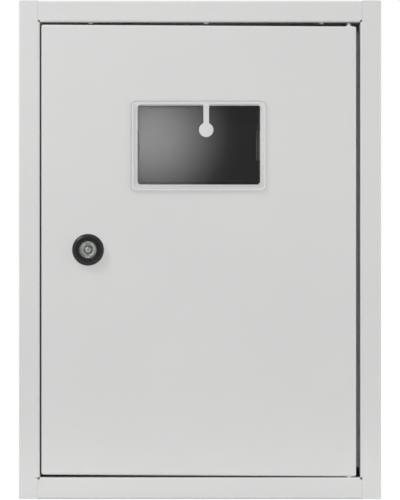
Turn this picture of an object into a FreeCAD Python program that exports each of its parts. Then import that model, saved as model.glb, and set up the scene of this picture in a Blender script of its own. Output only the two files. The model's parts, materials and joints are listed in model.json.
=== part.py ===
import FreeCAD, Part
import math
import os

# Electric meter box for wall mounting: a folded steel body, a hinged door with a window and a
# quarter-turn lock, and the meter plate and its mounting rail inside.
# Millimetres. X runs to the right, Y into the wall and Z up. The origin is the centre of the back.

Vector = FreeCAD.Vector
ACROSS = Vector(1, 0, 0)
DEPTH = Vector(0, 1, 0)
UP = Vector(0, 0, 1)

# Folded body
box_width = 320.0
box_height = 440.0
box_depth = 150.0
sheet = 1.2
bend_radius = 0.5
seam = 0.1
jamb_width = 18.5
rail_width = 19.0
rail_lip = 14.0
rear_flange = 15.0
stop_width = 8.0
stop_notch = 7.6
relief_height = 0.7
relief_reach_top = 1.2
relief_reach_left = 3.3
relief_reach_right = 2.0

# Holes, knock-outs and ribs in the body
fixing_inset_x = 20.0
fixing_inset_z = 30.0
fixing_diameter = 8.0
entry_width = 110.0
entry_height = 66.0
entry_corner = 8.0
entry_rise = 19.0
knockout_diameter = 22.0
knockout_slit = 0.5
knockout_bridge = 3.0
knockout_pitch = 110.0
knockout_setback = 75.0
rib_width = 4.8
rib_height = 1.4
rib_length = 6.0
rib_setback = 3.0
rib_pitch = 102.0
rib_offset = 5.3

# Door, which hangs down a little towards its hinge
door_return = 12.0
door_corner_inside = 0.8
lock_gap = 1.4
top_gap = 2.2
bottom_gap = 0.8
door_sag = 1.6
hinge_inset = 6.3
swing_clearance = 1.2
door_stud_inset = 30.0
door_stud_rise = 50.0

# Hinge pins, welded to the door
pin_diameter = 3.0
pin_clearance = 0.1
pin_reach = 3.0
top_collar_diameter = 10.0
top_collar_height = 1.2
bottom_collar_diameter = 6.0
bottom_collar_clearance = 0.1

# Clear window, a snap-in moulding that sits low and to the left in its cut-out
window_width = 119.0
window_height = 80.0
window_offset = -2.0
window_drop = 128.1
window_thickness = 3.0
window_corner = 3.6
window_edge = 1.4
cutout_width = 108.2
cutout_height = 70.8
cutout_corner = 3.0
window_play_x = 0.9
window_play_z = 1.05
window_fit = 0.05
bead_wall = 1.8
bead_depth = 7.0
clip_length = 26.0
clip_hook = 0.8
clip_clearance = 0.15
clip_tip = 0.5

# Quarter-turn lock with a double-bit key recess
lock_inset = 41.4
lock_z = 0.0
bezel_diameter = 28.0
bezel_height = 5.6
bezel_rim = 2.6
bezel_crest = 21.0
barrel_diameter = 20.0
barrel_flats = 17.0
barrel_clearance = 0.1
core_diameter = 16.0
core_clearance = 0.1
core_proud = 3.6
recess_diameter = 9.6
recess_depth = 9.0
key_pin_diameter = 5.0
wing_width = 3.2
wing_span = 12.8
wing_depth = 7.0
lock_nut_flats = 26.0
lock_nut_height = 5.5
tang_width = 8.0
tang_clearance = 0.1
cam_thickness = 2.5
cam_hub_width = 18.0
cam_tip_width = 14.0
cam_clip = 3.0
cam_hook = 4.7
cam_clearance = 0.7
cam_play = 0.3
cam_screw_length = 9.0

# Meter plate on four standoffs
plate_side_gap = 33.8
plate_end_gap = 43.8
plate_standoff = 25.0
plate_sheet = 1.5
plate_flange = 12.0
standoff_inset = 15.0
standoff_flats = 10.0
standoff_clearance = 0.25
stud_spare = 4.0
keyhole_x = 5.8
keyhole_rise = 20.4
keyhole_diameter = 13.5
keyhole_slot = 5.2
keyhole_length = 45.0
meter_slot_drop = 133.0
meter_slot_spread = 104.0
meter_slot_length = 30.0

# Mounting rail of top-hat section
din_width = 35.0
din_base = 27.0
din_depth = 7.5
din_sheet = 1.0
din_end_gap = 15.0
din_rise = 95.0
din_screw_inset = 35.0

# Screws and nuts
m5_diameter = 5.0
m5_flats = 8.0
m5_head_height = 3.5
m6_diameter = 6.0
m6_flats = 10.0
m6_head_height = 4.0
m6_nut_height = 6.0
thread_clearance = 0.1
screw_grip = 2.0
earth_stud_length = 16.0
body_stud_rise = 100.0

# Modelling allowances
overcut = 1.0
tolerance = 0.001


def around(middle, length):
    """Return the two ends of a length about its middle."""
    return middle - length / 2, middle + length / 2


# Places that follow from the sizes above
half_width = box_width / 2
half_height = box_height / 2
front = -box_depth
outer_radius = bend_radius + sheet
open_x = half_width - jamb_width
open_z = half_height - rail_width
lip_line = open_x + outer_radius
inner_x = half_width - sheet - seam

hinge_setback = door_return / 2
swing_reach = math.hypot(hinge_inset, hinge_setback)
hinge_gap = swing_reach - hinge_inset + swing_clearance
lip_depth = hinge_setback + swing_reach + swing_clearance + sheet
door_left = lock_gap - open_x
door_right = open_x - hinge_gap
door_corner = sheet + door_corner_inside
door_inside = front + sheet
hinge_x = door_right - hinge_inset
hinge_y = front + hinge_setback

window_z = half_height - window_drop
cutout_x = window_offset + window_play_x
cutout_z = window_z + window_play_z
bead_x = cutout_width / 2 - window_play_x - window_fit
bead_z = cutout_height / 2 - window_play_z - window_fit

lock_x = door_left + lock_inset
bezel_radius = bezel_diameter / 2
barrel_radius = barrel_diameter / 2
core_radius = core_diameter / 2
lock_bore = core_radius + core_clearance
cam_front = front + lip_depth + cam_clearance
cam_rear = cam_front + cam_thickness
housing_rear = cam_front - cam_play
cam_reach = lock_inset + lock_gap + sheet + cam_hook

plate_x = half_width - sheet - plate_side_gap
plate_z = half_height - sheet - plate_end_gap
plate_rear = -sheet - plate_standoff
plate_front = plate_rear - plate_sheet
standoff_x = plate_x - standoff_inset
standoff_z = plate_z - standoff_inset
standoff_places = [(x * standoff_x, z * standoff_z) for x in (-1, 1) for z in (-1, 1)]
keyhole_z = window_z + keyhole_rise
entry_z = keyhole_z + entry_rise
meter_slot_z = keyhole_z - meter_slot_drop

din_z = din_rise - plate_z
din_half_length = plate_x - din_end_gap
din_front = plate_front - din_sheet
din_screw_places = around(0, 2 * (din_half_length - din_screw_inset))

door_stud_x = door_right - door_stud_inset
body_stud_x = plate_side_gap / 2 + sheet - half_width
body_stud_z = body_stud_rise - half_height


def door_top(x):
    """Height of the door's sloping top edge."""
    return open_z - top_gap - door_sag * (x - door_left) / (door_right - door_left)


def door_bottom(x):
    """Height of the door's sloping bottom edge."""
    return bottom_gap - open_z + door_sag * (door_right - x) / (door_right - door_left)


# Shapes that are used many times

def block(x, y, z):
    """Return a box between a pair of ends on each axis."""
    lows = [min(ends) for ends in (x, y, z)]
    sizes = [abs(ends[1] - ends[0]) for ends in (x, y, z)]
    return Part.makeBox(*sizes, Vector(*lows))


def rod_y(x, z, radius, y):
    """Return a round bar along Y between two ends."""
    return Part.makeCylinder(radius, abs(y[1] - y[0]), Vector(x, min(y), z), DEPTH)


def rod_z(x, y, radius, z):
    """Return a round bar along Z between two ends."""
    return Part.makeCylinder(radius, abs(z[1] - z[0]), Vector(x, y, min(z)), UP)


def tube_y(x, z, radius, bore, y):
    """Return a round tube along Y between two ends."""
    return rod_y(x, z, radius, y).cut(rod_y(x, z, bore, y))


def edges_along(shape, axis):
    """Return the straight edges of a shape that run along an axis."""
    straight = [edge for edge in shape.Edges if isinstance(edge.Curve, Part.Line)]
    return [edge for edge in straight if edge.Curve.Direction.cross(axis).Length < tolerance]


def edges_at_y(shape, y):
    """Return the edges of a shape that lie in the plane of one Y value."""
    return [edge for edge in shape.Edges if all(abs(corner.Y - y) < tolerance for corner in edge.Vertexes)]


def rounded_block(x, y, z, radius):
    """Return a box whose four edges along Y are rounded."""
    solid = block(x, y, z)
    return solid.makeFillet(radius, edges_along(solid, DEPTH))


def upright_slot(x, z, width, y):
    """Return a slot cutter along Y with a round end about each of two heights."""
    ends = [rod_y(x, height, width / 2, y) for height in z]
    return block(around(x, width), y, z).multiFuse(ends)


def hexagon_y(x, z, across_flats, y):
    """Return a hexagonal bar along Y between two ends."""
    radius = across_flats / math.sqrt(3)
    angles = [math.radians(60 * corner) for corner in range(7)]
    corners = [Vector(x + radius * math.cos(angle), y[0], z + radius * math.sin(angle)) for angle in angles]
    return Part.Face(Part.makePolygon(corners)).extrude(Vector(0, y[1] - y[0], 0))


def folded_sheet(corners, thickness, sweep):
    """Sweep a sheet that is bent square at each corner of its midline, which lies in one plane."""
    normal = Vector(sweep).normalize()
    middle_radius = bend_radius + thickness / 2
    runs = [(end - start).normalize() for start, end in zip(corners, corners[1:])]

    def surface(offset):
        """Return the edges of one surface of the sheet and its two end points."""
        first = corners[0] + normal.cross(runs[0]) * offset
        last = corners[-1] + normal.cross(runs[-1]) * offset
        edges = []
        here = first
        for corner, before, after in zip(corners[1:], runs, runs[1:]):
            centre = corner + (after - before) * middle_radius
            turn = math.copysign(1, before.cross(after).dot(normal))
            radius = middle_radius - turn * offset
            enter = centre - after * radius
            crown = centre + (before - after).normalize() * radius
            leave = centre + before * radius
            edges.append(Part.makeLine(here, enter))
            edges.append(Part.Arc(enter, crown, leave).toShape())
            here = leave
        edges.append(Part.makeLine(here, last))
        return edges, first, last

    upper, upper_first, upper_last = surface(thickness / 2)
    lower, lower_first, lower_last = surface(-thickness / 2)
    caps = [Part.makeLine(upper_first, lower_first), Part.makeLine(upper_last, lower_last)]
    outline = Part.Wire(Part.__sortEdges__(upper + lower + caps))
    return Part.Face(outline).extrude(sweep)


def turned_y(x, z, outline):
    """Revolve an outline of (radius, y) points about an axis along Y."""
    points = [Vector(x + radius, y, z) for radius, y in outline + outline[:1]]
    return Part.Face(Part.makePolygon(points)).revolve(Vector(x, 0, z), DEPTH, 360)


def hex_screw(x, z, seat, out, diameter, flats, head_height, length):
    """Return a hexagon screw whose head stands on the seat and points along out times Y."""
    head = hexagon_y(x, z, flats, (seat, seat + out * head_height))
    return head.fuse(rod_y(x, z, diameter / 2, (seat, seat - out * length))).removeSplitter()


def hex_nut(x, z, seat, out):
    """Return an M6 hexagon nut that stands on the seat and points along out times Y."""
    span = (seat, seat + out * m6_nut_height)
    bore = rod_y(x, z, m6_diameter / 2 + thread_clearance, span)
    return hexagon_y(x, z, m6_flats, span).cut(bore)


def mirrored(shape):
    """Return a shape mirrored top to bottom."""
    return shape.mirror(Vector(0, 0, 0), UP)


# Body

def make_body_wrapper():
    """Sides, back and front jambs in one folded sheet, with a lip at the opening and a hinge-side stop."""
    half = sheet / 2
    lip_x = open_x + half
    wall_x = half_width - half
    stop_y = front + lip_depth - half
    midline = [
        (-lip_x, front + lip_depth), (-lip_x, front + half), (-wall_x, front + half), (-wall_x, -half),
        (wall_x, -half), (wall_x, front + half), (lip_x, front + half), (lip_x, stop_y),
        (open_x - stop_width, stop_y),
    ]
    corners = [Vector(x, y, -half_height) for x, y in midline]
    wrapper = folded_sheet(corners, sheet, UP * box_height)
    through_front = (front - overcut, front + lip_depth + overcut)
    through_face = (front - overcut, front + outer_radius + overcut)
    cuts = []
    for end, left_reach, right_reach in (
        (1, relief_reach_top, relief_reach_top),
        (-1, relief_reach_left, relief_reach_right),
    ):
        beyond = end * (half_height + overcut)
        relief_z = (end * open_z, end * (open_z + relief_height))
        cuts.append(block((-lip_line, lip_line), through_front, (relief_z[1], beyond)))
        cuts.append(block((0, open_x), through_front, (end * (open_z - stop_notch), beyond)))
        cuts.append(block((-open_x - left_reach, overcut - open_x), through_face, relief_z))
        cuts.append(block((open_x - overcut, open_x + right_reach), through_face, relief_z))
    through_back = (-sheet - overcut, overcut)
    for x in (-1, 1):
        for z in (-1, 1):
            place = (x * (half_width - fixing_inset_x), z * (half_height - fixing_inset_z))
            cuts.append(rod_y(*place, fixing_diameter / 2, through_back))
    entry_span = (around(keyhole_x, entry_width), through_back, around(entry_z, entry_height))
    cuts.append(rounded_block(*entry_span, entry_corner))
    return wrapper.cut(cuts)


def make_end_panel():
    """Top of the body, folded between the jambs. The bottom is its mirror image."""
    half = sheet / 2
    flange_y = -sheet - seam - half
    lip_z = open_z + half
    top_z = half_height - half
    midline = [
        (front + rail_lip, lip_z), (front + half, lip_z), (front + half, top_z),
        (flange_y, top_z), (flange_y, half_height - rear_flange),
    ]
    corners = [Vector(-inner_x, y, z) for y, z in midline]
    panel = folded_sheet(corners, sheet, ACROSS * 2 * inner_x)
    all_z = (open_z - overcut, half_height + overcut)
    bend_z = (open_z - overcut, open_z + outer_radius)
    jamb_y = (front - overcut, front + sheet + seam)
    lip_y = (front - overcut, front + rail_lip + overcut)
    front_bend = (front - overcut, front + outer_radius + seam)
    rear_bend = (-sheet - seam - outer_radius, overcut)
    cuts = []
    for side in (-1, 1):
        beyond = side * (half_width + overcut)
        cuts.append(block((side * (lip_line - seam), beyond), jamb_y, all_z))
        cuts.append(block((side * (open_x - seam), beyond), lip_y, bend_z))
        cuts.append(block((side * (inner_x - bend_radius), beyond), front_bend, all_z))
        cuts.append(block((side * (inner_x - bend_radius), beyond), rear_bend, all_z))
    lip_through = (open_z - overcut, open_z + sheet + overcut)
    cuts.append(rod_z(hinge_x, hinge_y, pin_diameter / 2 + pin_clearance, lip_through))
    return panel.cut(cuts)


def knockout_cut(x):
    """Ring-shaped slit round a knock-out, broken by two bridges."""
    through = (-half_height - overcut, -half_height + sheet + overcut)
    radius = knockout_diameter / 2
    ring = rod_z(x, -knockout_setback, radius, through)
    ring = ring.cut(rod_z(x, -knockout_setback, radius - knockout_slit, through))
    bridge = block(around(x, knockout_diameter), around(-knockout_setback, knockout_bridge), through)
    return ring.cut(bridge)


def make_top_panel(panel):
    """Top of the body with three pressed half-round ribs under its lip."""
    radius = (rib_width ** 2 / 4 + rib_height ** 2) / (2 * rib_height)
    rib_y = front + outer_radius + rib_setback
    span_y = (rib_y, rib_y + rib_length)
    span_z = (open_z - rib_height, open_z + sheet / 2)
    ribs = []
    for place in (-1, 0, 1):
        x = rib_offset + place * rib_pitch
        bar = rod_y(x, open_z - rib_height + radius, radius, span_y)
        ribs.append(bar.common(block(around(x, rib_width), span_y, span_z)))
    return panel.multiFuse(ribs).removeSplitter()


def make_bottom_panel(panel):
    """Bottom of the body with two knock-outs for cable glands."""
    return mirrored(panel).cut([knockout_cut(x) for x in around(0, knockout_pitch)])


# Door

def make_door_panel():
    """Folded pan with its window cut-out and lock hole."""
    outline = [
        (door_left, door_bottom(door_left)), (door_right, door_bottom(door_right)),
        (door_right, door_top(door_right)), (door_left, door_top(door_left)),
    ]
    corners = [Vector(x, front, z) for x, z in outline + outline[:1]]
    pan = Part.Face(Part.makePolygon(corners)).extrude(DEPTH * door_return)
    pan = pan.makeFillet(door_corner, edges_along(pan, DEPTH))
    pan = pan.makeFillet(outer_radius, edges_at_y(pan, front))
    inset = [(x - math.copysign(sheet, x), z - math.copysign(sheet, z)) for x, z in outline + outline[:1]]
    inside = Part.Face(Part.makePolygon([Vector(x, door_inside, z) for x, z in inset]))
    pan = pan.cut(inside.extrude(DEPTH * door_return))
    through = (front - overcut, door_inside + overcut)
    cutout_span = (around(cutout_x, cutout_width), through, around(cutout_z, cutout_height))
    flats = around(lock_x, barrel_flats + 2 * barrel_clearance)
    lock_hole = rod_y(lock_x, lock_z, barrel_radius + barrel_clearance, through)
    lock_hole = lock_hole.common(block(flats, through, around(lock_z, barrel_diameter + overcut)))
    return pan.cut([rounded_block(*cutout_span, cutout_corner), lock_hole])


def weld_pin(seat, collar_diameter, collar_height, reach):
    """Return a pin along Z with a collar at its foot, which is welded to the door's edge."""
    out = math.copysign(1, reach)
    foot = rod_z(hinge_x, hinge_y, collar_diameter / 2, (seat, seat + out * collar_height))
    shank = rod_z(hinge_x, hinge_y, pin_diameter / 2, (seat, out * (open_z + sheet) + reach))
    return foot.fuse(shank).removeSplitter()


def make_hinge_pin_top():
    """Pin on the door's top edge."""
    seat = door_top(hinge_x - top_collar_diameter / 2)
    return weld_pin(seat, top_collar_diameter, top_collar_height, pin_reach)


def make_hinge_pin_bottom():
    """Pin on the door's bottom edge; its collar carries the door on the bottom lip."""
    seat = door_bottom(hinge_x + bottom_collar_diameter / 2)
    height = seat + open_z - bottom_collar_clearance
    return weld_pin(seat, bottom_collar_diameter, height, -pin_reach)


def make_window():
    """Clear moulding: a bevelled slab in front, a bead through the cut-out and a clip on each side."""
    slab_y = (front - window_thickness, front)
    slab_span = (around(window_offset, window_width), slab_y, around(window_z, window_height))
    slab = rounded_block(*slab_span, window_corner)
    slab = slab.makeChamfer(window_edge, edges_at_y(slab, front - window_thickness))
    bead_end = front + bead_depth
    bead_y = (front, bead_end)
    bead_span = (around(window_offset, 2 * bead_x), bead_y, around(window_z, 2 * bead_z))
    hollow_x = around(window_offset, 2 * (bead_x - bead_wall))
    hollow_z = around(window_z, 2 * (bead_z - bead_wall))
    bead = rounded_block(*bead_span, cutout_corner + bead_wall)
    bead = bead.cut(rounded_block(hollow_x, bead_y, hollow_z, cutout_corner))
    catch_y = door_inside + clip_clearance
    catch_reach = bead_x + 2 * window_play_x + window_fit + clip_hook
    clips = []
    for side in (-1, 1):
        root_x = window_offset + side * (bead_x - bead_wall / 2)
        side_x = window_offset + side * bead_x
        tip_x = window_offset + side * catch_reach
        base = window_z - clip_length / 2
        outline = [
            (root_x, catch_y), (tip_x, catch_y), (tip_x, catch_y + clip_tip),
            (side_x, bead_end), (root_x, bead_end), (root_x, catch_y),
        ]
        face = Part.Face(Part.makePolygon([Vector(x, y, base) for x, y in outline]))
        clips.append(face.extrude(UP * clip_length))
    return slab.multiFuse([bead] + clips).removeSplitter()


# Lock

def make_lock_housing():
    """Raised bezel with a tapered crest and a flatted barrel, bored for the core."""
    top = front - bezel_height
    bezel = turned_y(lock_x, lock_z, [
        (lock_bore, front), (lock_bore, top), (bezel_crest / 2, top),
        (bezel_radius, front - bezel_rim), (bezel_radius, front),
    ])
    barrel_y = (front, housing_rear)
    barrel = tube_y(lock_x, lock_z, barrel_radius, lock_bore, barrel_y)
    barrel = barrel.common(block(around(lock_x, barrel_flats), barrel_y, around(lock_z, barrel_diameter)))
    return bezel.fuse(barrel).removeSplitter()


def make_lock_nut():
    """Hexagonal nut that clamps the housing to the inside of the door."""
    span = (door_inside, door_inside + lock_nut_height)
    bore = rod_y(lock_x, lock_z, barrel_radius + thread_clearance, span)
    return hexagon_y(lock_x, lock_z, lock_nut_flats, span).cut(bore)


def make_lock_core():
    """Turning core: double-bit recess in front, square tang behind."""
    face = front - core_proud
    core = rod_y(lock_x, lock_z, core_radius, (face, housing_rear))
    tang = block(around(lock_x, tang_width), (housing_rear, cam_rear), around(lock_z, tang_width))
    recess = tube_y(lock_x, lock_z, recess_diameter / 2, key_pin_diameter / 2, (face, face + recess_depth))
    wings = block(around(lock_x, wing_width), (face, face + wing_depth), around(lock_z, wing_span))
    wings = wings.cut(rod_y(lock_x, lock_z, key_pin_diameter / 2, (face, face + wing_depth)))
    screw_hole = (cam_rear, cam_rear - cam_screw_length)
    thread = rod_y(lock_x, lock_z, m6_diameter / 2 + thread_clearance, screw_hole)
    return core.fuse(tang).cut([recess, wings, thread])


def make_lock_cam():
    """Flat cam that hangs down when the lock is open and turns behind the jamb's lip."""
    hub = cam_hub_width / 2
    tip = cam_tip_width / 2
    right_side = [
        (hub - cam_clip, hub), (hub, hub - cam_clip), (hub, -hub),
        (tip, cam_clip - cam_reach), (tip - cam_clip, -cam_reach),
    ]
    left_side = [(-x, z) for x, z in reversed(right_side)]
    outline = right_side + left_side + right_side[:1]
    corners = [Vector(lock_x + x, cam_front, lock_z + z) for x, z in outline]
    cam = Part.Face(Part.makePolygon(corners)).extrude(DEPTH * cam_thickness)
    square = tang_width + 2 * tang_clearance
    return cam.cut(block(around(lock_x, square), (cam_front, cam_rear), around(lock_z, square)))


def make_cam_screw():
    """Screw that holds the cam on the core's tang."""
    return hex_screw(lock_x, lock_z, cam_rear, 1, m6_diameter, m6_flats, m6_head_height, cam_screw_length)


# Meter plate

def make_meter_plate():
    """Plate with side flanges, the meter's keyhole and slots, and the holes for what it carries."""
    half = plate_sheet / 2
    edge_x = plate_x - half
    midline = [
        (-edge_x, plate_front + plate_flange), (-edge_x, plate_front + half),
        (edge_x, plate_front + half), (edge_x, plate_front + plate_flange),
    ]
    plate = folded_sheet([Vector(x, y, -plate_z) for x, y in midline], plate_sheet, UP * 2 * plate_z)
    through = (plate_front - overcut, plate_rear + overcut)
    cuts = [rod_y(x, z, m6_diameter / 2 + standoff_clearance, through) for x, z in standoff_places]
    cuts.append(rod_y(keyhole_x, keyhole_z, keyhole_diameter / 2, through))
    cuts.append(upright_slot(keyhole_x, (keyhole_z, keyhole_z + keyhole_length), keyhole_slot, through))
    meter_slot_ends = around(meter_slot_z, meter_slot_length - keyhole_slot)
    for x in around(keyhole_x, meter_slot_spread):
        cuts.append(upright_slot(x, meter_slot_ends, keyhole_slot, through))
    for x in din_screw_places:
        cuts.append(rod_y(x, din_z, m5_diameter / 2 + thread_clearance, through))
    return plate.cut(cuts)


def make_plate_standoffs():
    """Hexagonal standoffs, welded to the back, with a threaded end through the meter plate."""
    tip = plate_front - m6_nut_height - stud_spare
    standoffs = []
    for x, z in standoff_places:
        pillar = hexagon_y(x, z, standoff_flats, (-sheet, plate_rear))
        standoffs.append(pillar.fuse(rod_y(x, z, m6_diameter / 2, (plate_rear, tip))))
    return Part.makeCompound(standoffs)


def make_plate_nuts():
    """Nuts on the plate's standoffs."""
    return Part.makeCompound([hex_nut(x, z, plate_front, -1) for x, z in standoff_places])


# Mounting rail

def make_din_rail():
    """Top-hat rail with a hole for each of its two screws."""
    half = din_sheet / 2
    wing_y = plate_front - din_depth + half
    base_y = plate_front - half
    wall_z = din_base / 2 - half
    midline = [
        (wing_y, din_width / 2), (wing_y, wall_z), (base_y, wall_z),
        (base_y, -wall_z), (wing_y, -wall_z), (wing_y, -din_width / 2),
    ]
    corners = [Vector(-din_half_length, y, din_z + z) for y, z in midline]
    rail = folded_sheet(corners, din_sheet, ACROSS * 2 * din_half_length)
    through = (din_front - overcut, plate_front + overcut)
    hole = m5_diameter / 2 + thread_clearance
    return rail.cut([rod_y(x, din_z, hole, through) for x in din_screw_places])


def make_din_rail_screws():
    """Screws that hold the rail to the meter plate."""
    size = (m5_diameter, m5_flats, m5_head_height, din_sheet + plate_sheet + screw_grip)
    return Part.makeCompound([hex_screw(x, din_z, din_front, -1, *size) for x in din_screw_places])


# Earth studs

def make_body_earth_stud():
    """Welded earth stud on the back."""
    return rod_y(body_stud_x, body_stud_z, m6_diameter / 2, (-sheet, -sheet - earth_stud_length))


def make_door_earth_stud():
    """Welded earth stud inside the door."""
    span = (door_inside, door_inside + earth_stud_length)
    return rod_y(door_stud_x, door_stud_z, m6_diameter / 2, span)


door_stud_z = door_bottom(door_stud_x) + door_stud_rise
end_panel = make_end_panel()

parts = {
    "body_wrapper": make_body_wrapper(),
    "top_panel": make_top_panel(end_panel),
    "bottom_panel": make_bottom_panel(end_panel),
    "body_earth_stud": make_body_earth_stud(),
    "body_earth_nut": hex_nut(body_stud_x, body_stud_z, -sheet, -1),
    "meter_plate": make_meter_plate(),
    "plate_standoffs": make_plate_standoffs(),
    "plate_nuts": make_plate_nuts(),
    "din_rail": make_din_rail(),
    "din_rail_screws": make_din_rail_screws(),
    "door_panel": make_door_panel(),
    "window": make_window(),
    "hinge_pin_top": make_hinge_pin_top(),
    "hinge_pin_bottom": make_hinge_pin_bottom(),
    "lock_housing": make_lock_housing(),
    "lock_nut": make_lock_nut(),
    "door_earth_stud": make_door_earth_stud(),
    "door_earth_nut": hex_nut(door_stud_x, door_stud_z, door_inside, 1),
    "lock_core": make_lock_core(),
    "lock_cam": make_lock_cam(),
    "cam_screw": make_cam_screw(),
}

os.makedirs("parts", exist_ok=True)
for name, shape in parts.items():
    shape.exportStep(f"parts/{name}.step")
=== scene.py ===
import json
import math

import bmesh
import bpy
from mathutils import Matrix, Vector


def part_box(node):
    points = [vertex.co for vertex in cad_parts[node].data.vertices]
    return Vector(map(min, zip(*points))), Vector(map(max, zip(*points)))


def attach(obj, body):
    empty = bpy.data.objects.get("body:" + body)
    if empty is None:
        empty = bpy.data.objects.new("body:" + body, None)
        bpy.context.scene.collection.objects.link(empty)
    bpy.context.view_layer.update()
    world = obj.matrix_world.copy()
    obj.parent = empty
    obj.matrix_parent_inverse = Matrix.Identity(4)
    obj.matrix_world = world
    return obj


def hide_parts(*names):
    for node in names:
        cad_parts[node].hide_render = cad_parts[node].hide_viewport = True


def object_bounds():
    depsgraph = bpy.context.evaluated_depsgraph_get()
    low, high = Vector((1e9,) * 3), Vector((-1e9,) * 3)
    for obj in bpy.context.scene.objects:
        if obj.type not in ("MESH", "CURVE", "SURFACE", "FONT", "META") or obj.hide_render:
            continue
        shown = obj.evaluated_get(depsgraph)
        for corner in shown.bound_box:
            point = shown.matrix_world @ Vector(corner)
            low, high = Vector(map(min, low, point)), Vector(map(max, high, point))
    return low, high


# Dresses the meter box: finishes for its steel, plastic and zinc, smooth mouldings for the window and
# the lock, threads on its studs and screws, the welds of its hinge pins, and a white studio.
# Metres. X runs to the right, Y into the wall and Z up. The origin is the centre of the back.

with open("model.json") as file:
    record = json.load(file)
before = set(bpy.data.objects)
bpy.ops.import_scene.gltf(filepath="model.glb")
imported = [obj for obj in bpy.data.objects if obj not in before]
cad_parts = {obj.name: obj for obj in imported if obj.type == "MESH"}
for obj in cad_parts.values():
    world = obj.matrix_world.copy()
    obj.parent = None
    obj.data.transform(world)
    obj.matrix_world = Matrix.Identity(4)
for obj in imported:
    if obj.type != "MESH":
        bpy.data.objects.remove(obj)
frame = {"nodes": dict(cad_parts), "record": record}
cad_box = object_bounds()
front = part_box("door_panel")[0].y
window_low, window_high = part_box("window")
mm = 0.001

# Camera: the photograph's frame, and the size of its pixels on the front of the box
photo_height = 500
photo_scale = 0.8825 * mm
camera_distance = 2.0
camera_drop = 0.2 * mm
camera_sensor = 36.0

# Lamps and surroundings
white = (1, 1, 1, 1)
ambient = 1.02
key_place = Vector((-0.75, -0.65, 0.8))
key_size = (0.36, 0.36)
key_power = 4.3
side_place = Vector((1.3, -0.75, 0.3))
side_size = (0.8, 0.8)
side_power = 3.4
low_place = Vector((0.0, -0.2, -0.215))
low_size = (0.5, 0.02)
low_power = 0.023
floor_grey = (0.65, 0.65, 0.65, 1)
floor_half = 60.0
floor_drop = 0.2 * mm
floor_share = 0.8
floor_glow = 1.12
keyhole_glow = 0.63
card_half = 0.2
card_setback = 60 * mm

# Dark end of the studio with one soft glow, which the window mirrors left of its centre and above it
studio_setback = 0.45
studio_half = 1.0
studio_dark = 0.19
glow_peak = 3.4
glow_radius = 0.172
glow_offset = Vector((-42.2, 0, 8.6)) * mm

# Window moulding
window_edge = 1.6 * mm
window_round = 1.6 * mm
rim_width = 5.0 * mm
rim_fall = 0.4 * mm
window_corner = 3.8 * mm
window_seat = 0.1 * mm
bead_inset_x = 6.35 * mm
bead_inset_z = 5.7 * mm
bead_corner = 4.8 * mm
bead_wall = 1.8 * mm
bead_draft = 0.6 * mm
pane_margin = 1.0 * mm
clip_length = 26.0 * mm
clip_reach = 2.65 * mm
clip_gap = 0.15 * mm
clip_tip = 0.5 * mm
clip_lead = 1.1 * mm
smallest_corner = 0.5 * mm
polished = 0.02
satin = 0.05

# Painted light on the window's rim, laid on as matt white frost: a haze between the pane and a painted
# highlight line, and a strip along the pane's top
haze_painted_light = 0.1
painted_highlight_line = 0.36
painted_light_strip = 0.28
painted_light_fade = 0.2 * mm
painted_light_corner = 3.0 * mm
line_low = window_low + Vector((2.1, 0, 1.2)) * mm
line_high = window_high - Vector((0.6, 0, 2.3)) * mm
line_half = 0.45 * mm
pane_low = window_low + Vector((5.0, 0, 5.0)) * mm
pane_high = window_high - Vector((3.0, 0, 5.0)) * mm
strip_low = Vector((window_low.x + 5.5 * mm, 0, window_high.z - 4.9 * mm))
strip_high = window_high - Vector((4.1, 0, 3.2)) * mm
strip_corner = 0.6 * mm

# Lock
bezel_tilt = math.radians(68)
bezel_crest = 10.4 * mm
bezel_bore = 8.1 * mm
bezel_lead = 0.7 * mm
barrel_radius = 10.0 * mm
barrel_root = 9.4 * mm
barrel_flats = 17.0 * mm
barrel_pitch = 1.5 * mm
lock_nut_flats = 26.0 * mm
core_lead = 0.5 * mm
recess_radius = 4.8 * mm
recess_depth = 9.0 * mm
recess_lead = 0.4 * mm
recess_break = 0.8 * mm
recess_draft = 1.2 * mm
# Painted light in the key recess: pale walls that are not metallic, so that they look lit where shade falls
recess_painted_light = (0.80, 0.82, 0.79, 1)
painted_recess_start = 0.8 * mm
painted_recess_fade = 0.4 * mm
key_pin_radius = 2.5 * mm
key_pin_crest = 0.2 * mm
key_pin_tilt = math.radians(34)
wing_width = 3.2 * mm
wing_span = 12.8 * mm
wing_depth = 7.0 * mm
tang_length = 2.8 * mm
tang_width = 8.0 * mm

# Screws, studs and nuts, where a thread is (crest radius, root radius, pitch)
m6_flats = 10.0 * mm
m6_thread = (3.0 * mm, 2.45 * mm, 1.0 * mm)
m6_bore = 3.05 * mm
m6_head = 4.0 * mm
m5_flats = 8.0 * mm
m5_thread = (2.5 * mm, 2.05 * mm, 0.8 * mm)
m5_head = 3.5 * mm
screw_sink = 0.2 * mm
nut_lead = 0.35 * mm
hexagon_face = 0.96
hexagon_slope = math.tan(math.radians(30))

# Steel sheets and the hinge pins' welds
sheet = 1.2 * mm
plate_sheet = 1.5 * mm
pin_radius = 1.5 * mm
pin_lead = 0.4 * mm
weld_height = 3.4 * mm
weld_reach = 5.3 * mm
weld_sink = 0.6 * mm
weld_pinch = 2.0
foot_lead = 0.3 * mm

# Fineness of round forms
turn_steps = 96
thread_steps = 60
rows_per_pitch = 2
spare_rows = 4
corner_steps = 10
edge_steps = 6
merge_distance = 0.001 * mm
sharp_angle = math.radians(35)
bezel_sharp_angle = math.radians(20)
quarter_turn = math.pi / 2
turn_angles = [2 * math.pi * step / turn_steps for step in range(turn_steps)]

# Usual range of a noise texture, and its detail where a finish doesn't need more
noise_low = 0.3
noise_high = 0.7
noise_detail = 2.0


# Helpers for meshes

def add_object(name, data):
    """Put new data into the scene as an object."""
    made = bpy.data.objects.new(name, data)
    bpy.context.scene.collection.objects.link(made)
    return made


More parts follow.
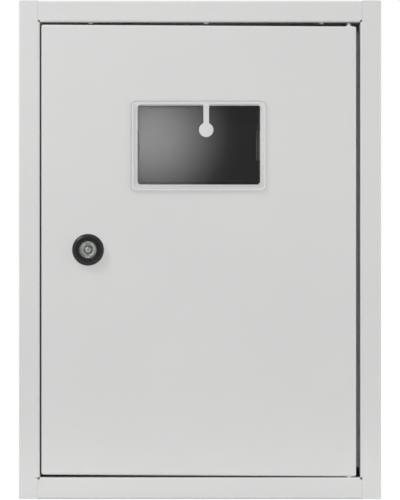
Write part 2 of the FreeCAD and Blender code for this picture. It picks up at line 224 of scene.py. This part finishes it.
def mesh_object(name, shape, sharp=sharp_angle):
    """Turn a finished bmesh into an object, smooth except over edges sharper than an angle."""
    bmesh.ops.remove_doubles(shape, verts=shape.verts, dist=merge_distance)
    bmesh.ops.recalc_face_normals(shape, faces=shape.faces)
    mesh = bpy.data.meshes.new(name)
    shape.to_mesh(mesh)
    shape.free()
    mesh.shade_smooth()
    mesh.set_sharp_from_angle(angle=sharp)
    return add_object(name, mesh)


def loft(shape, rings, closed=False):
    """Join rings of points with faces and close the ends, or join the last ring to the first."""
    rows = [[shape.verts.new(point) for point in ring] for ring in rings]
    pairs = list(zip(rows, rows[1:]))
    if closed:
        pairs.append((rows[-1], rows[0]))
    else:
        shape.faces.new(rows[0])
        shape.faces.new(rows[-1])
    for lower, upper in pairs:
        for place in range(len(lower)):
            after = (place + 1) % len(lower)
            shape.faces.new((lower[place], lower[after], upper[after], upper[place]))


def value_at(value, angle):
    """Return a value that is either a number or a function of the angle."""
    return value(angle) if callable(value) else value


def ring_y(place, radius, y, angles=turn_angles):
    """Return the points of a ring round an axis along Y. Radius and y may change with the angle."""
    points = []
    for angle in angles:
        reach = value_at(radius, angle)
        x = place.x + reach * math.cos(angle)
        z = place.z + reach * math.sin(angle)
        points.append((x, value_at(y, angle), z))
    return points


def ring_z(place, radius, z, reach=None, pinch=1.0):
    """Return the points of a circle round an axis along Z.

    Its front half may be drawn out to a reach, and pinched towards its tip by a power above 1.
    """
    points = []
    for angle in turn_angles:
        across = math.cos(angle)
        depth = math.sin(angle)
        x = place.x + radius * across
        y = place.y + radius * depth
        if reach and depth < 0:
            x = place.x + radius * math.copysign(abs(across) ** pinch, across)
            y = place.y - reach * abs(depth) ** pinch
        points.append((x, y, z))
    return points


def rounded_rectangle(centre, half_x, half_z, radius, y):
    """Return the points of a rounded rectangle that faces along Y."""
    points = []
    for quarter in range(4):
        side_x = 1 if quarter in (0, 3) else -1
        side_z = 1 if quarter in (0, 1) else -1
        corner_x = centre.x + side_x * (half_x - radius)
        corner_z = centre.z + side_z * (half_z - radius)
        for step in range(corner_steps + 1):
            angle = quarter_turn * (quarter + step / corner_steps)
            point = (corner_x + radius * math.cos(angle), y, corner_z + radius * math.sin(angle))
            points.append(point)
    return points


def quarter_round(first, last):
    """Return points of a quarter ellipse between two (across, along) points, leaving the first along."""
    points = []
    for step in range(edge_steps + 1):
        angle = quarter_turn * step / edge_steps
        across = first[0] + (last[0] - first[0]) * (1 - math.cos(angle))
        along = first[1] + (last[1] - first[1]) * math.sin(angle)
        points.append((across, along))
    return points


def dome(crest, radius, top, tilt):
    """Return (radius, y) points of an arc from a flat crest out to a radius, where it has a tilt."""
    bend = (radius - crest) / math.sin(tilt)
    points = []
    for step in range(edge_steps + 1):
        angle = tilt * step / edge_steps
        points.append((crest + bend * math.sin(angle), top + bend * (1 - math.cos(angle))))
    return points


def thread_column(place, thread, start, end, turn, flats):
    """Return the points along one side of a threaded bar, root and crest by turns, at a share of a turn."""
    crest, root, pitch = thread
    out = math.copysign(1, end - start)
    length = abs(end - start)
    side_x = math.cos(2 * math.pi * turn)
    side_z = math.sin(2 * math.pi * turn)
    points = []
    for row in range(math.ceil(rows_per_pitch * length / pitch) + spare_rows):
        along = (row / rows_per_pitch - 1 + turn) * pitch
        radius = root
        if row % rows_per_pitch and 0 < along < length:
            radius = min(crest, root + length - along)
        along = min(max(along, 0), length)
        across = radius * side_x
        if flats:
            across = min(max(across, -flats / 2), flats / 2)
        points.append((place.x + across, start + out * along, place.z + radius * side_z))
    return points


def add_thread(shape, place, thread, start, end, flats=None, rest=None):
    """Add a bar along Y with a helical thread, cut to a width over flats if it is given.

    The bar is closed at its ends, or by the rest of its outline of (radius, y) points.
    """
    columns = []
    for step in range(thread_steps):
        turn = step / thread_steps
        points = thread_column(place, thread, start, end, turn, flats)
        rows = len(points)
        for radius, y in rest or []:
            points += ring_y(place, radius, y, [2 * math.pi * turn])
        columns.append([shape.verts.new(point) for point in points])
    for step, column in enumerate(columns):
        after = columns[(step + 1) % thread_steps]
        shift = rows_per_pitch if step == thread_steps - 1 else 0
        for row in range(rows - 1 - shift):
            shape.faces.new((column[row], column[row + 1], after[row + 1 + shift], after[row + shift]))
        for row in range(rows - 1, len(column) - 1):
            shape.faces.new((column[row], column[row + 1], after[row + 1], after[row]))
        if rest:
            shape.faces.new((column[-1], column[0], after[0], after[-1]))
    if not rest:
        shape.faces.new([column[0] for column in columns])
        shape.faces.new([column[-1] for column in columns])


def hexagon_corner(flats):
    """Return the distance from a hexagon's axis to its corners."""
    return flats / math.sqrt(3)


def add_hexagon(shape, place, flats, seat, end, bore=None):
    """Add a hexagon along Y with chamfered corners: a bored nut, or a head that is flat at its seat."""
    out = math.copysign(1, end - seat)
    face = flats / 2 * hexagon_face
    sixth = math.pi / 3

    def reach(angle):
        """Distance to the hexagon's side."""
        return flats / 2 / math.cos(angle % sixth - sixth / 2)

    def chamfered(y, inward):
        """Return the height of the chamfered edge as a function of the angle."""
        return lambda angle: y + inward * (reach(angle) - face) * hexagon_slope

    far = [ring_y(place, reach, chamfered(end, -out)), ring_y(place, face, end)]
    if bore is None:
        loft(shape, [ring_y(place, reach, seat)] + far)
        return
    near = [ring_y(place, face, seat), ring_y(place, reach, chamfered(seat, out))]
    lead = bore + nut_lead
    entry = [ring_y(place, bore, seat + out * nut_lead), ring_y(place, lead, seat)]
    leave = [ring_y(place, lead, end), ring_y(place, bore, end - out * nut_lead)]
    loft(shape, entry + near + far + leave, closed=True)


# Helpers for materials

def feed(node, settings):
    """Set a node's inputs, each of them to a constant or to another node's output."""
    for socket, value in settings.items():
        if isinstance(value, bpy.types.NodeSocket):
            node.id_data.links.new(value, node.inputs[socket])
        else:
            node.inputs[socket].default_value = value


def new_material(name, settings):
    """Return a new material and its shader, with constant values on the shader's own sockets."""
    made = bpy.data.materials.new(name)
    made.use_nodes = True
    shader = made.node_tree.nodes["Principled BSDF"]
    feed(shader, settings)
    return made, shader


def add_node(tree, kind, settings, **options):
    """Add a shader node, with its options and what its inputs take."""
    node = tree.nodes.new(kind)
    for option, value in options.items():
        setattr(node, option, value)
    feed(node, settings)
    return node


def object_place(tree):
    """Return the socket that gives a point's place on the object, in metres."""
    return add_node(tree, "ShaderNodeTexCoord", {}).outputs["Object"]


def object_axes(tree):
    """Return the sockets that give X, Y and Z of a point's place on the object."""
    return add_node(tree, "ShaderNodeSeparateXYZ", {"Vector": object_place(tree)}).outputs


def noise(tree, scale, detail=noise_detail):
    """Return the value of a noise texture."""
    settings = {"Vector": object_place(tree), "Scale": scale, "Detail": detail}
    return add_node(tree, "ShaderNodeTexNoise", settings).outputs["Fac"]


def spread(tree, value, low, high, start=noise_low, end=noise_high, **options):
    """Map a value from its range, which is a noise texture's unless given, to a range of numbers."""
    settings = {"Value": value, "From Min": start, "From Max": end, "To Min": low, "To Max": high}
    return add_node(tree, "ShaderNodeMapRange", settings, **options).outputs["Result"]


def combine(tree, operation, first, second=0.0):
    """Combine two values, each of them a socket or a number."""
    return add_node(tree, "ShaderNodeMath", {0: first, 1: second}, operation=operation).outputs["Value"]


def past_rectangle(tree, axes, low, high, radius):
    """Return how far a point lies outside a rounded rectangle that faces the front, negative inside it."""
    parts = []
    for axis, first, last in (("X", low.x, high.x), ("Z", low.z, high.z)):
        offset = combine(tree, "SUBTRACT", axes[axis], (first + last) / 2)
        past = combine(tree, "SUBTRACT", combine(tree, "ABSOLUTE", offset), (last - first) / 2 - radius)
        parts.append(combine(tree, "POWER", combine(tree, "MAXIMUM", past, 0.0), 2.0))
    return combine(tree, "SUBTRACT", combine(tree, "SQRT", combine(tree, "ADD", *parts)), radius)


def blend_colours(tree, share, first, second):
    """Mix two colours, each of them a socket or a constant, by a share."""
    settings = {"A": first, "B": second, "Factor": share}
    return add_node(tree, "ShaderNodeMix", settings, data_type="RGBA").outputs["Result"]


def mottle(shader, scale, deep, pale, detail=noise_detail):
    """Let a shader's colour wander between two colours, and return its socket."""
    tree = shader.id_data
    share = spread(tree, noise(tree, scale, detail), 0.0, 1.0)
    colour = blend_colours(tree, share, deep, pale)
    feed(shader, {"Base Color": colour})
    return colour


def vary_gloss(shader, scale, low, high):
    """Let a shader's roughness wander between two values."""
    tree = shader.id_data
    feed(shader, {"Roughness": spread(tree, noise(tree, scale), low, high)})


def add_grain(shader, scale, strength, depth, detail=noise_detail):
    """Give a shader's surface a fine grain, on top of the one that it has."""
    tree = shader.id_data
    settings = {"Height": noise(tree, scale, detail), "Strength": strength, "Distance": depth}
    for link in shader.inputs["Normal"].links:
        settings["Normal"] = link.from_socket
    feed(shader, {"Normal": add_node(tree, "ShaderNodeBump", settings).outputs["Normal"]})


# Materials

def make_powder_coat():
    """Light grey semi-gloss powder coat with a fine orange peel."""
    made, shader = new_material("grey_powder_coat", {})
    mottle(shader, scale=9.0, deep=(0.640, 0.641, 0.636, 1), pale=(0.656, 0.656, 0.650, 1))
    vary_gloss(shader, scale=160.0, low=0.39, high=0.46)
    add_grain(shader, scale=750.0, strength=0.12, depth=0.05 * mm)
    add_grain(shader, scale=3200.0, strength=0.08, depth=0.02 * mm)
    return made


def make_dark_coat():
    """Dark grey semi-gloss paint of the meter plate."""
    made, shader = new_material("dark_grey_paint", {})
    mottle(shader, scale=14.0, deep=(0.037, 0.037, 0.039, 1), pale=(0.043, 0.043, 0.045, 1))
    vary_gloss(shader, scale=160.0, low=0.34, high=0.40)
    add_grain(shader, scale=750.0, strength=0.1, depth=0.04 * mm)
    return made


def make_galvanised():
    """Galvanised sheet with its crystal spangle."""
    made, shader = new_material("galvanised_sheet", {"Metallic": 1.0})
    tree = made.node_tree
    settings = {"Vector": object_place(tree), "Scale": 130.0, "Randomness": 1.0}
    crystals = add_node(tree, "ShaderNodeTexVoronoi", settings)
    shades = add_node(tree, "ShaderNodeSeparateColor", {"Color": crystals.outputs["Color"]}).outputs
    colour = blend_colours(tree, shades["Red"], (0.50, 0.51, 0.52, 1), (0.58, 0.59, 0.60, 1))
    rough = spread(tree, shades["Green"], low=0.26, high=0.34, start=0.0, end=1.0)
    feed(shader, {"Base Color": colour, "Roughness": rough})
    add_grain(shader, scale=420.0, strength=0.06, depth=0.03 * mm)
    return made


def make_zinc_plate():
    """Zinc-plated steel, dull and slightly uneven."""
    made, shader = new_material("zinc_plated_steel", {"Metallic": 1.0})
    mottle(shader, scale=300.0, deep=(0.55, 0.55, 0.54, 1), pale=(0.68, 0.68, 0.66, 1), detail=4.0)
    vary_gloss(shader, scale=900.0, low=0.28, high=0.42)
    add_grain(shader, scale=1800.0, strength=0.1, depth=0.03 * mm)
    return made


def make_die_cast():
    """Die-cast zinc of the lock's core, with tool marks, and painted light in its recess: pale walls that
    are not metallic, so that they look lit where shade falls.
    """
    made, shader = new_material("die_cast_zinc", {"Metallic": 1.0})
    tree = made.node_tree
    deep = (0.28, 0.29, 0.28, 1)
    stained = mottle(shader, scale=700.0, deep=deep, pale=(0.42, 0.43, 0.41, 1), detail=5.0)
    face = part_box("lock_core")[0].y
    floor = face + recess_depth
    along = object_axes(tree)["Y"]
    # The recess between these depths gets the painted light; the face and the part behind the recess stay
    # zinc
    before = spread(tree, along, 1.0, 0.0, face + painted_recess_start, face + painted_recess_start + painted_recess_fade)
    behind = spread(tree, along, 0.0, 1.0, floor, floor + painted_recess_fade)
    outside_painted_recess = combine(tree, "MAXIMUM", before, behind)
    feed(shader, {"Base Color": blend_colours(tree, outside_painted_recess, recess_painted_light, stained), "Metallic": outside_painted_recess})
    vary_gloss(shader, scale=1100.0, low=0.26, high=0.42)
    add_grain(shader, scale=900.0, strength=0.35, depth=0.1 * mm, detail=4.0)
    return made


def make_black_plastic():
    """Black moulded plastic with a fine grain."""
    made, shader = new_material("black_plastic", {"IOR": 1.4})
    mottle(shader, scale=500.0, deep=(0.006, 0.006, 0.0065, 1), pale=(0.010, 0.010, 0.0105, 1), detail=4.0)
    vary_gloss(shader, scale=1500.0, low=0.22, high=0.32)
    add_grain(shader, scale=2600.0, strength=0.12, depth=0.03 * mm)
    return made


def clear_share(tree, axes):
    """Return how clear the window is, which is less where matt white frost paints light and a highlight
    line on its rim.
    """
    line = past_rectangle(tree, axes, line_low, line_high, painted_light_corner)
    pane = past_rectangle(tree, axes, pane_low, pane_high, painted_light_corner)
    strip = past_rectangle(tree, axes, strip_low, strip_high, strip_corner)
    # Painted light: a haze between the pane and the highlight line
    outside_pane = spread(tree, pane, 0.0, haze_painted_light, -painted_light_fade, painted_light_fade)
    inside_line = spread(tree, line, haze_painted_light, 0.0, 0.0, painted_light_fade)
    painted_haze = combine(tree, "MINIMUM", outside_pane, inside_line)
    beside = combine(tree, "ABSOLUTE", line)
    # Painted highlight along the line
    on_highlight_line = spread(tree, beside, painted_highlight_line, 0.0, line_half - painted_light_fade, line_half + painted_light_fade)
    # Painted light along the pane's top
    on_light_strip = spread(tree, strip, painted_light_strip, 0.0, -painted_light_fade, painted_light_fade)
    painted_light_share = combine(tree, "ADD", combine(tree, "ADD", painted_haze, on_highlight_line), on_light_strip)
    edge = window_low.y + window_edge
    on_face = spread(tree, axes["Y"], 1.0, 0.0, edge, edge + painted_light_fade)
    return combine(tree, "SUBTRACT", 1.0, combine(tree, "MULTIPLY", on_face, painted_light_share))


def make_clear_plastic():
    """Clear moulded plastic, polished, with matt white frost that paints a highlight line and light on its
    rim, and satin on the bead behind the door's face.
    """
    settings = {"Base Color": (0.995, 1.0, 0.995, 1), "Transmission Weight": 1.0, "IOR": 1.49}
    made, shader = new_material("clear_plastic", settings)
    tree = made.node_tree
    axes = object_axes(tree)
    rough = spread(tree, axes["Y"], polished, satin, front, front + sheet)
    feed(shader, {"Roughness": rough, "Transmission Weight": clear_share(tree, axes)})
    return made


# Pieces of the door

def finish_piece(piece, body, slot, material, *replaced):
    """Give a new piece its body and material, and let it stand for its CAD nodes; the slot is not used."""
    piece.data.materials.append(material)
    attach(piece, body)
    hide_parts(*replaced)


def window_ring(centre, half_x, half_z, radius, y, bulge=0.0):
    """Return a rounded rectangle with the points of a clip, which may bulge, at its left and right."""
    points = rounded_rectangle(centre, half_x, half_z, radius, y)
    middle = len(points) // 2
    clips = []
    for side in (-1, 1):
        root = centre.x + side * half_x
        tip = root + side * bulge
        first = centre.z - side * clip_length / 2
        last = centre.z + side * clip_length / 2
        clips.append([(root, y, first), (tip, y, first), (tip, y, last), (root, y, last)])
    return points[:middle] + clips[0] + points[middle:] + clips[1]


def make_window(material):
    """Clear moulding: a slab with a round edge, the bead that goes through the door, and two clips."""
    low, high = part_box("window")
    centre = (low + high) / 2
    half_x = (high.x - low.x) / 2
    half_z = (high.z - low.z) / 2
    back = front - window_seat
    catch = front + sheet + clip_gap

    def slab(inset, y):
        """Ring of the slab."""
        corner = max(window_corner - inset, smallest_corner)
        return window_ring(centre, half_x - inset, half_z - inset, corner, y)

    def bead(inset, y, bulge=0.0):
        """Ring of the bead, or of the pane inside it."""
        corner = max(bead_corner - inset, smallest_corner)
        bead_x = half_x - bead_inset_x - inset
        bead_z = half_z - bead_inset_z - inset
        return window_ring(centre, bead_x, bead_z, corner, y, bulge)

    edge = quarter_round((0, low.y + window_edge), (window_round, low.y + rim_fall))
    rings = [
        bead(bead_wall + pane_margin, back),
        bead(bead_wall, back),
        bead(bead_wall - bead_draft, high.y),
        bead(0, high.y, -clip_lead),
        bead(0, catch + clip_tip, clip_reach),
        bead(0, catch, clip_reach),
        bead(0, catch),
        bead(0, back),
        slab(0, back),
    ]
    rings += [slab(inset, y) for inset, y in edge]
    rings += [slab(rim_width, low.y), slab(rim_width + pane_margin, low.y)]
    shape = bmesh.new()
    loft(shape, rings)
    piece = mesh_object("clear_window", shape)
    # The paint beside it keeps its soft light, as clear plastic passes it on
    piece.visible_diffuse = False
    finish_piece(piece, "door", "clear_plastic", material, "window")


def make_bezel(material):
    """Black lock housing: a softly rounded bezel on a threaded barrel with two flats."""
    low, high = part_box("lock_housing")
    centre = (low + high) / 2
    radius = (high.x - low.x) / 2
    rest = [(bezel_bore, high.y)]
    rest += reversed(quarter_round((bezel_bore + bezel_lead, low.y), (bezel_bore, low.y + bezel_lead)))
    rest += dome(bezel_crest, radius, low.y, bezel_tilt)
    rest += [(radius, front)]
    shape = bmesh.new()
    thread = (barrel_radius, barrel_root, barrel_pitch)
    add_thread(shape, centre, thread, front, high.y, barrel_flats, rest)
    piece = mesh_object("lock_bezel", shape, bezel_sharp_angle)
    # The paint beside it keeps its soft light, as in the photograph
    piece.visible_diffuse = False
    finish_piece(piece, "door", "black_plastic", material, "lock_housing")


def make_core(material):
    """Turning core: a double-bit recess round its pin in front, and a bored square tang behind."""
    low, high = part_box("lock_core")
    centre = (low + high) / 2
    radius = (high.x - low.x) / 2
    face = low.y
    shoulder = high.y - tang_length
    bore_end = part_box("cam_screw")[0].y
    wing_meets = math.acos(wing_width / 2 / recess_radius)
    wing_corner = math.atan2(wing_span, wing_width)
    corners = []
    for angle in (wing_meets, wing_corner):
        corners += [angle, math.pi - angle, math.pi + angle, 2 * math.pi - angle]
    angles = sorted(turn_angles + corners)

    def recess(angle):
        """Distance to the wall of the key recess."""
        width = max(abs(math.cos(angle)), merge_distance)
        height = max(abs(math.sin(angle)), merge_distance)
        wing = min(wing_span / 2 / height, wing_width / 2 / width)
        return max(recess_radius, wing)

    def recess_edge(angle):
        """Distance to the recess's broken edge."""
        return recess(angle) + recess_break

    def recess_end(angle):
        """Distance to the drafted wall at the wings' floor."""
        return recess(angle) - recess_draft

    def tang(angle):
        """Distance to the side of the square tang."""
        return tang_width / 2 / max(abs(math.cos(angle)), abs(math.sin(angle)))

    outline = [(m6_bore, bore_end), (m6_bore, high.y)]
    outline += [(tang, high.y), (tang, shoulder), (radius, shoulder)]
    outline += [(radius, face + core_lead), (radius - core_lead, face)]
    outline += [(recess_edge, face), (recess, face + recess_lead), (recess_end, face + wing_depth)]
    floor_radius = recess_radius - recess_draft
    outline += [(floor_radius, face + wing_depth), (floor_radius, face + recess_depth)]
    outline += [(key_pin_radius, face + recess_depth)]
    outline += reversed(dome(key_pin_crest, key_pin_radius, face, key_pin_tilt))
    shape = bmesh.new()
    loft(shape, [ring_y(centre, across, along, angles) for across, along in outline])
    finish_piece(mesh_object("turning_core", shape), "lock_rotor", "die_cast_zinc", material, "lock_core")


def make_lock_nut(material):
    """Thin hexagonal nut behind the lock."""
    low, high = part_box("lock_nut")
    shape = bmesh.new()
    add_hexagon(shape, (low + high) / 2, lock_nut_flats, low.y, high.y, barrel_radius)
    finish_piece(mesh_object("clamp_nut", shape), "door", "zinc_plate", material, "lock_nut")


def make_cam_screw(material):
    """Hexagon screw that holds the cam."""
    low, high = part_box("cam_screw")
    centre = (low + high) / 2
    seat = high.y - m6_head
    shape = bmesh.new()
    add_hexagon(shape, centre, m6_flats, seat, high.y)
    add_thread(shape, centre, m6_thread, seat + screw_sink, low.y)
    finish_piece(mesh_object("cam_bolt", shape), "lock_rotor", "zinc_plate", material, "cam_screw")


def make_pin(name, node, weld, pin, material):
    """Painted hinge pin of (radius, z) rings, in a weld of (radius, z, pinch) rings drawn out in front."""
    low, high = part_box(node)
    centre = (low + high) / 2
    rings = [ring_z(centre, radius, z, weld_reach, pinch) for radius, z, pinch in weld]
    rings += [ring_z(centre, radius, z) for radius, z in pin]
    shape = bmesh.new()
    loft(shape, rings)
    finish_piece(mesh_object(name, shape), "door", "grey_coat", material, node)


def make_top_pin(material):
    """Upper hinge pin, with a weld that narrows as it rises."""
    low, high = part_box("hinge_pin_top")
    foot = (high.x - low.x) / 2
    neck = low.z + weld_height
    weld = [(foot, low.z - weld_sink, 1)]
    for radius, z in reversed(quarter_round((pin_radius, neck), (foot, low.z))):
        weld.append((radius, z, 1 + weld_pinch * (z - low.z) / weld_height))
    pin = [(pin_radius, neck), (pin_radius, high.z - pin_lead), (pin_radius - pin_lead, high.z)]
    make_pin("top_pin", "hinge_pin_top", weld, pin, material)


def make_bottom_pin(material):
    """Lower hinge pin, with a weld that ends at the bottom panel's upper edge."""
    low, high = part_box("hinge_pin_bottom")
    foot = (high.x - low.x) / 2
    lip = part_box("bottom_panel")[1].z
    end = lip + merge_distance
    weld = [(foot, high.z + weld_sink, 1), (foot, lip + foot_lead, 1), (foot - foot_lead, end, 1)]
    pin = [(pin_radius, end), (pin_radius, low.z + pin_lead), (pin_radius - pin_lead, low.z)]
    make_pin("bottom_pin", "hinge_pin_bottom", weld, pin, material)


# Studs, nuts and screws of the body and the door

def make_earth_points(material):
    """Threaded earth stud with its nut, on the body and on the door."""
    for body in ("body", "door"):
        low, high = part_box(f"{body}_earth_stud")
        centre = (low + high) / 2
        seat, tip = (low.y, high.y) if body == "door" else (high.y, low.y)
        shape = bmesh.new()
        add_thread(shape, centre, m6_thread, seat, tip)
        stud = mesh_object(f"{body}_earth_bolt", shape)
        finish_piece(stud, body, "zinc_plate", material, f"{body}_earth_stud")
        low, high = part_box(f"{body}_earth_nut")
        shape = bmesh.new()
        add_hexagon(shape, centre, m6_flats, low.y, high.y, m6_bore)
        nut = mesh_object(f"{body}_earth_hexagon", shape)
        finish_piece(nut, body, "zinc_plate", material, f"{body}_earth_nut")


def make_plate_fixings(material):
    """Standoffs that carry the meter plate, and their nuts."""
    low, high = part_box("plate_standoffs")
    nut_low, nut_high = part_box("plate_nuts")
    plate_rear = nut_high.y + plate_sheet
    place_x = high.x - hexagon_corner(m6_flats)
    place_z = high.z - m6_flats / 2
    pillars = bmesh.new()
    nuts = bmesh.new()
    for side_x in (-1, 1):
        for side_z in (-1, 1):
            place = Vector((side_x * place_x, 0, side_z * place_z))
            add_hexagon(pillars, place, m6_flats, high.y, plate_rear)
            add_thread(pillars, place, m6_thread, plate_rear + screw_sink, low.y)
            add_hexagon(nuts, place, m6_flats, nut_high.y, nut_low.y, m6_bore)
    finish_piece(mesh_object("plate_pillars", pillars), "body", "zinc_plate", material, "plate_standoffs")
    finish_piece(mesh_object("plate_hexagons", nuts), "body", "zinc_plate", material, "plate_nuts")


def make_rail_screws(material):
    """Hexagon screws of the mounting rail."""
    low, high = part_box("din_rail_screws")
    place_x = high.x - hexagon_corner(m5_flats)
    seat = low.y + m5_head
    shape = bmesh.new()
    for side in (-1, 1):
        place = Vector((side * place_x, 0, (low.z + high.z) / 2))
        add_hexagon(shape, place, m5_flats, seat, low.y)
        add_thread(shape, place, m5_thread, seat - screw_sink, high.y)
    finish_piece(mesh_object("rail_bolts", shape), "body", "zinc_plate", material, "din_rail_screws")


# Studio

def make_camera():
    """Camera straight in front of the box, at the photograph's scale."""
    data = bpy.data.cameras.new("camera")
    data.sensor_width = camera_sensor
    data.lens = camera_sensor * camera_distance / (photo_height * photo_scale)
    camera = add_object("camera", data)
    camera.location = (0, front - camera_distance, -camera_drop)
    camera.rotation_euler = (quarter_turn, 0, 0)
    bpy.context.scene.camera = camera
    return camera


def seen_directly(tree):
    """Return a value that is 1 for what the camera sees, also in metal and through glass."""
    path = add_node(tree, "ShaderNodeLightPath", {}).outputs
    mirrored = combine(tree, "MAXIMUM", path["Is Camera Ray"], path["Is Glossy Ray"])
    return combine(tree, "MAXIMUM", mirrored, path["Is Transmission Ray"])


def make_world():
    """White surroundings that light the box softly from all sides."""
    world = bpy.data.worlds.new("studio")
    world.use_nodes = True
    bpy.context.scene.world = world
    tree = world.node_tree
    strength = spread(tree, seen_directly(tree), ambient, 1.0, 0.0, 1.0)
    feed(tree.nodes["Background"], {"Color": white, "Strength": strength})


def stage_plane(name, half, place, turn=0.0):
    """Add a square plane of the studio, which isn't part of the object; return it and its bare material."""
    shape = bmesh.new()
    bmesh.ops.create_grid(shape, x_segments=1, y_segments=1, size=half)
    plane = mesh_object(name, shape)
    plane.location = place
    plane.rotation_euler = (turn, 0, 0)
    made = bpy.data.materials.new(name)
    made.use_nodes = True
    made.node_tree.nodes.remove(made.node_tree.nodes["Principled BSDF"])
    plane.data.materials.append(made)
    return plane, made.node_tree


def white_light(tree, strength):
    """Return the socket of a shader that gives off white light."""
    return add_node(tree, "ShaderNodeEmission", {"Color": white, "Strength": strength}).outputs["Emission"]


def show(tree, surface):
    """Let a material show a shader's socket."""
    feed(tree.nodes["Material Output"], {"Surface": surface})


def make_floor():
    """White floor under the box, which keeps a soft shadow."""
    tree = stage_plane("floor", floor_half, (0, 0, cad_box[0].z - floor_drop))[1]
    paint = add_node(tree, "ShaderNodeBsdfDiffuse", {"Color": floor_grey}).outputs["BSDF"]
    share = spread(tree, seen_directly(tree), 0.0, floor_share, 0.0, 1.0)
    layers = {"Fac": share, 1: paint, 2: white_light(tree, floor_glow)}
    show(tree, add_node(tree, "ShaderNodeMixShader", layers).outputs["Shader"])


def make_wall_card():
    """Pale grey wall behind the cable entry, which shows only through the window and the keyhole."""
    place = (0, cad_box[1].y + card_setback, (window_low.z + window_high.z) / 2)
    card, tree = stage_plane("wall_card", card_half, place, quarter_turn)
    show(tree, white_light(tree, keyhole_glow))
    card.visible_camera = False
    card.visible_diffuse = False
    card.visible_glossy = False
    card.visible_shadow = False


def make_dark_studio(camera):
    """Dark end of the studio behind the camera, with one soft glow, which the window mirrors."""
    far_y = camera.location.y - studio_setback
    wall, tree = stage_plane("studio_end", studio_half, (0, far_y, 0), quarter_turn)
    reach = (window_low.y - far_y) / (window_low.y - camera.location.y)
    glow = ((window_low + window_high) / 2 + glow_offset) * (1 + reach)
    ends = {0: object_place(tree), 1: (glow.x, glow.z, 0)}
    away = add_node(tree, "ShaderNodeVectorMath", ends, operation="DISTANCE").outputs["Value"]
    strength = spread(tree, away, glow_peak, studio_dark, 0.0, glow_radius, interpolation_type="SMOOTHSTEP")
    show(tree, white_light(tree, strength))
    wall.visible_camera = False


def make_lamp(name, place, size, power, aim_z=0.0, mirrored=True):
    """Add a soft lamp that faces the front at a height, and may be left out of mirrored light."""
    data = bpy.data.lights.new(name, "AREA")
    data.shape = "RECTANGLE"
    data.size = size[0]
    data.size_y = size[1]
    data.energy = power
    lamp = add_object(name, data)
    lamp.location = place
    target = Vector((0, front, aim_z))
    lamp.rotation_euler = (target - place).to_track_quat("-Z", "Y").to_euler()
    lamp.visible_camera = False
    lamp.visible_glossy = mirrored
    lamp.visible_transmission = mirrored


# Everything together

bpy.context.scene.view_settings.view_transform = "Standard"
camera = make_camera()
make_world()
make_lamp("key", key_place, key_size, key_power)
make_lamp("side", side_place, side_size, side_power, mirrored=False)
make_lamp("low", low_place, low_size, low_power, aim_z=low_place.z, mirrored=False)
make_floor()
make_wall_card()
make_dark_studio(camera)

finishes = {
    "grey_coat": make_powder_coat(),
    "dark_coat": make_dark_coat(),
    "galvanised": make_galvanised(),
    "zinc_plate": make_zinc_plate(),
    "clear_plastic": make_clear_plastic(),
    "black_plastic": make_black_plastic(),
    "die_cast_zinc": make_die_cast(),
}
slots = {part["node"]: part["material_slot"] for part in frame["record"]["subparts"]}
for name, node in frame["nodes"].items():
    for place in range(len(node.data.materials)):
        node.data.materials[place] = finishes[slots[name]]

make_window(finishes["clear_plastic"])
make_bezel(finishes["black_plastic"])
make_core(finishes["die_cast_zinc"])
make_lock_nut(finishes["zinc_plate"])
make_cam_screw(finishes["zinc_plate"])
make_top_pin(finishes["grey_coat"])
make_bottom_pin(finishes["grey_coat"])
make_earth_points(finishes["zinc_plate"])
make_plate_fixings(finishes["zinc_plate"])
make_rail_screws(finishes["zinc_plate"])
